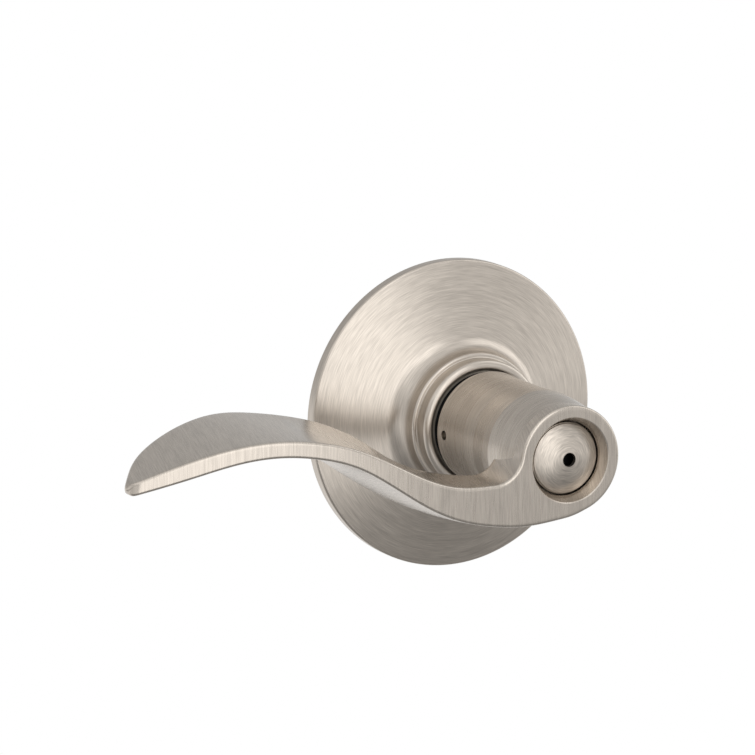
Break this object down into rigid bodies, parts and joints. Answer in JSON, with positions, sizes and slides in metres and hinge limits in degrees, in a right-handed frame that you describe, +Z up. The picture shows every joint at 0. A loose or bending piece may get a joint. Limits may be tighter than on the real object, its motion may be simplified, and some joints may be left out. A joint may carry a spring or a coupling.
{
  "type": "door lever handle",
  "caption": "Privacy door lever with a wave-shaped arm on a trumpet-necked round rose, with its sprung spindle, catch, release rod and mounting posts for a 54 mm door bore.",
  "frame": {"origin": "centre of the rose on the door's face", "axes": "+Y along the spindle into the door, -Y out of the door towards the hand, -X along the arm, +Z up"},
  "size_m": [0.1244, 0.086, 0.065],
  "materials": {
    "rose": "satin nickel, turned grain",
    "lever": "satin nickel, cross brushed, edges polished",
    "cap": "satin nickel, turned rings",
    "steel": "zinc plated, dull bright",
    "spring_steel": "oiled spring wire",
    "casting": "die-cast zinc, as cast",
    "nylon": "moulded black"
  },
  "bodies": {
    "trim": {"rose_cover": "rose", "spring_housing": "casting", "spring_cage_cover": "steel", "cage_screw_1": "steel", "cage_screw_2": "steel", "cage_screw_3": "steel", "cage_screw_4": "steel", "neck_bush": "nylon", "return_spring": "spring_steel", "thrust_washer": "steel", "mounting_post_left": "steel", "mounting_post_right": "steel"},
    "lever": {"lever_handle": "lever", "face_cap": "cap", "spindle_tube": "steel", "drive_cam": "steel", "retaining_clip": "spring_steel", "rod_guide": "nylon", "drive_spindle": "steel", "catch_spring": "spring_steel", "release_spring": "spring_steel"},
    "catch": {"lever_catch": "steel"},
    "release": {"release_rod": "steel"}
  },
  "joints": [
    {"name": "lever_turn", "type": "hinge", "parent": "trim", "child": "lever", "pos_m": [0, 0, 0], "axis": [0, -1, 0], "range_deg": [-50, 50], "stiffness_Nm_per_rad": 0.9, "deforming": ["return_spring"]},
    {"name": "catch_press", "type": "slide", "parent": "lever", "child": "catch", "axis": [1, 0, 0], "range_m": [0, 0.0026], "stiffness_N_per_m": 900, "deforming": ["catch_spring"]},
    {"name": "release_push", "type": "slide", "parent": "lever", "child": "release", "axis": [0, 1, 0], "range_m": [0, 0.004], "stiffness_N_per_m": 500, "deforming": ["release_spring"]}
  ]
}
